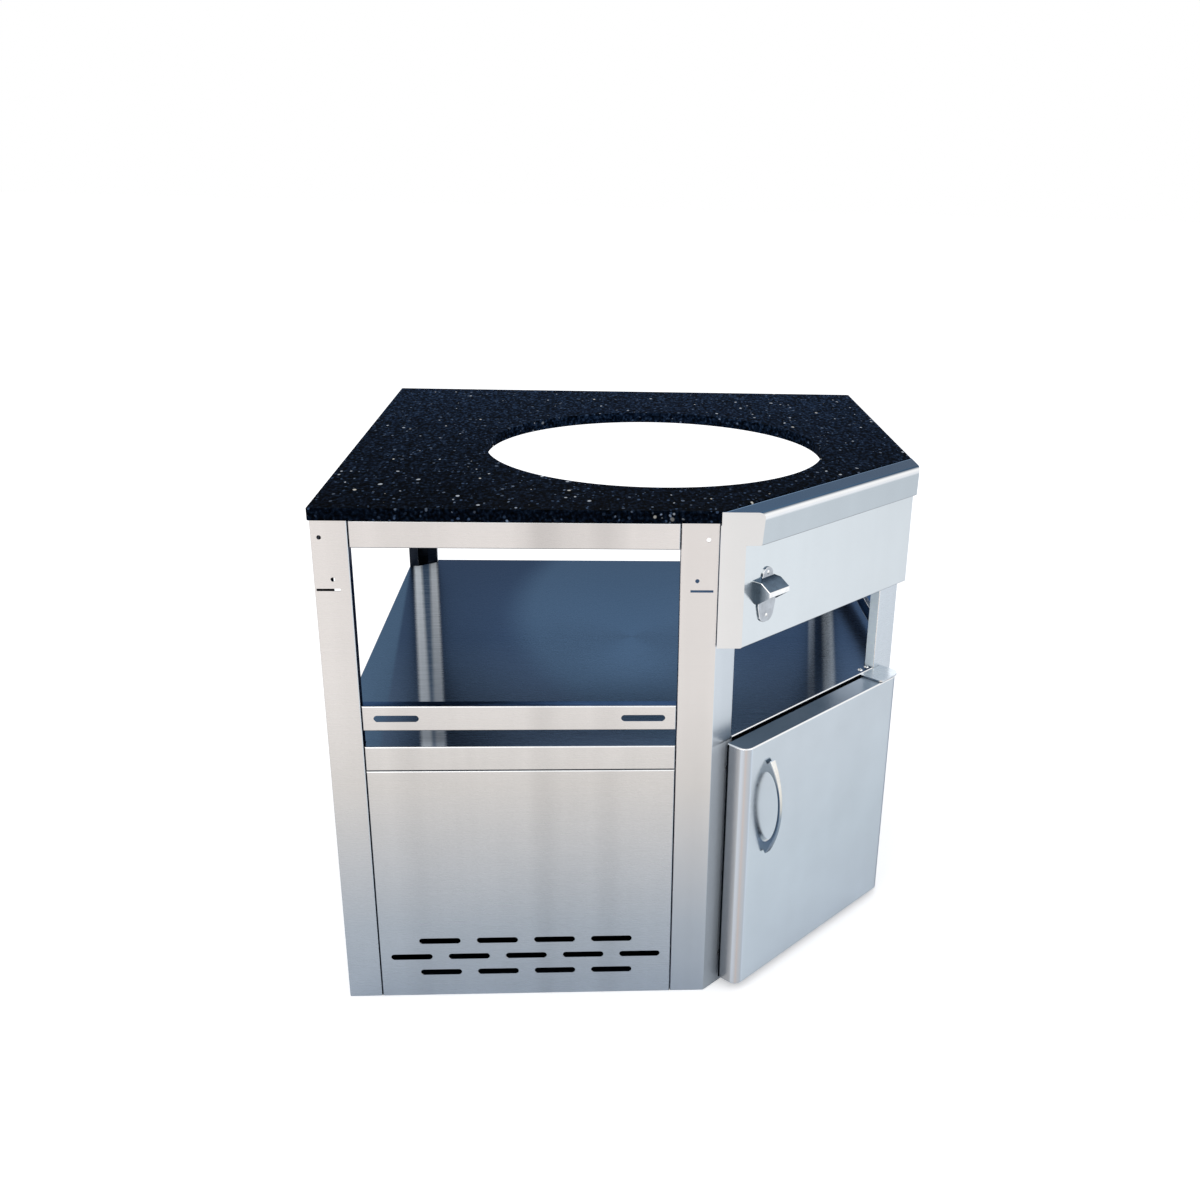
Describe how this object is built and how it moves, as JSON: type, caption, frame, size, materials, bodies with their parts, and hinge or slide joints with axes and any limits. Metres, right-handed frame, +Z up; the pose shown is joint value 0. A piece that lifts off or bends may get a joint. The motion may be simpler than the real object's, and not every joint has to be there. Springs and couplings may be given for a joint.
{
  "type": "kamado grill table",
  "caption": "Stainless-steel corner cabinet with a granite worktop cut out for a round kamado grill, a shelf for the grill, vented panels and a hinged door on its diagonal front.",
  "frame": {"origin": "centre of the bounding box, at floor level", "axes": "+Z up; the square sides run along X and Y; -Y is the vented front side, the door faces +X -Y"},
  "size_m": [1.027, 1.027, 0.9],
  "materials": {
    "granite": "polished black granite",
    "brushed_steel": "brushed",
    "cast_steel": "satin polished casting",
    "bright_steel": "bright",
    "nylon": "moulded",
    "catch_plastic": "moulded",
    "bumper_rubber": "soft"
  },
  "bodies": {
    "cabinet": {"worktop": "granite", "post_front_left": "brushed_steel", "post_door_handle_side": "brushed_steel", "post_door_hinge_side": "brushed_steel", "post_back_right": "brushed_steel", "post_back_left": "brushed_steel", "top_rail_front": "brushed_steel", "top_rail_door": "brushed_steel", "top_rail_right": "brushed_steel", "top_rail_back": "brushed_steel", "top_rail_left": "brushed_steel", "slotted_rail_front": "brushed_steel", "slotted_rail_right": "brushed_steel", "shelf": "brushed_steel", "shelf_brace_front": "brushed_steel", "shelf_brace_middle": "brushed_steel", "shelf_brace_back": "brushed_steel", "cupboard_floor": "brushed_steel", "vent_panel_front": "brushed_steel", "vent_panel_right": "brushed_steel", "back_panel": "brushed_steel", "left_panel": "brushed_steel", "fascia_cover": "brushed_steel", "cover_screws": "bright_steel", "bottle_opener": "cast_steel", "opener_screws": "bright_steel", "magnetic_catch": "catch_plastic", "catch_screws": "bright_steel", "door_bumpers": "bumper_rubber", "hinge_plate_upper": "brushed_steel", "hinge_plate_lower": "brushed_steel", "hinge_pin_upper": "bright_steel", "hinge_pin_lower": "bright_steel", "hinge_bolts": "bright_steel", "hinge_nuts": "bright_steel", "rail_rivets": "bright_steel", "shelf_rivets": "bright_steel", "floor_rivets": "bright_steel", "panel_rivets": "bright_steel"},
    "door": {"door_skin": "brushed_steel", "door_liner": "brushed_steel", "door_handle": "cast_steel", "handle_screws": "bright_steel", "hinge_bush_upper": "nylon", "hinge_bush_lower": "nylon", "catch_strike": "bright_steel"}
  },
  "joints": [
    {"name": "door_hinge", "type": "hinge", "parent": "cabinet", "child": "door", "pos_m": [0.48666, -0.18352, 0.2505], "axis": [0, 0, 1], "range_deg": [0, 120]}
  ]
}
